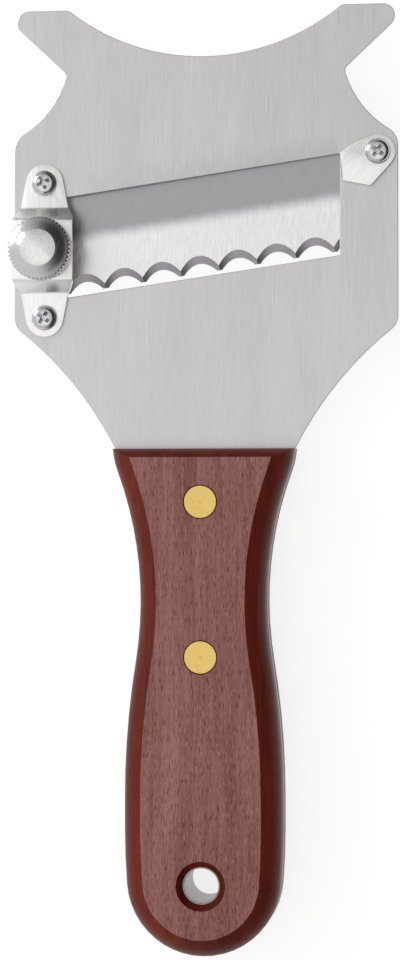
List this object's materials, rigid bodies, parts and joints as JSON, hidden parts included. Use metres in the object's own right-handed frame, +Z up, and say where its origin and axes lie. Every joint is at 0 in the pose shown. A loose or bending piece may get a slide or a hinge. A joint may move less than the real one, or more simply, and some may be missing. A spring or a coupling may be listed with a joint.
{
  "type": "truffle slicer",
  "caption": "Horned steel slicer plate on a wooden handle, with a scalloped blade behind a slanted window, set by a knurled knob, for shaving truffles.",
  "frame": {"origin": "under the middle of the slicer, on the flat back of the handle, on which it lies", "axes": "+X across the plate to the pivot side, +Y along the handle to the horns, +Z up through the plate to the knob side"},
  "size_m": [0.092, 0.225, 0.0208],
  "materials": {
    "plate_steel": "stainless steel sheet with a fine straight brushed grain",
    "handle_wood": "open-grained dark hardwood, sanded matte on its face and smoother on its rounded edges",
    "rivet_brass": "brass rivet heads ground flush and lightly turned",
    "tube_steel": "drawn stainless steel tube",
    "blade_steel": "ground stainless blade steel with bright scallop bevels",
    "bush_brass": "turned brass",
    "bright_steel": "bright stainless steel strip with a brushed grain",
    "screw_steel": "polished stainless steel",
    "knob_steel": "turned and polished stainless steel with straight knurls"
  },
  "bodies": {
    "frame": {"body_plate": "plate_steel", "handle_scale_front": "handle_wood", "handle_scale_back": "handle_wood", "rivet_sockets": "rivet_brass", "rivet_pins": "rivet_brass", "hanging_tube": "tube_steel", "knob_bridge": "bright_steel", "bridge_screws": "screw_steel", "bridge_nuts": "screw_steel", "pivot_clip": "bright_steel", "pivot_screw": "screw_steel", "pivot_spacer": "screw_steel", "pivot_washer": "screw_steel", "pivot_nut": "screw_steel", "knob_washer": "screw_steel"},
    "knob": {"adjusting_knob": "knob_steel", "adjusting_screw": "screw_steel"},
    "blade": {"slicing_blade": "blade_steel", "blade_bush": "bush_brass"}
  },
  "joints": [
    {"name": "knob_turn", "type": "hinge", "parent": "frame", "child": "knob", "pos_m": [-0.0385, 0.05498, 0.0149], "axis": [0, 0, 1], "range_deg": [-720, 360]},
    {"name": "blade_tilt", "type": "hinge", "parent": "frame", "child": "blade", "pos_m": [0.0413, 0.0774, 0.00865], "axis": [-0.1426, 0.9898, 0], "range_deg": [-0.49, 0.98]}
  ],
  "couplings": [
    {"joint": "blade_tilt", "follows": "knob_turn", "ratio": -0.0013557}
  ]
}
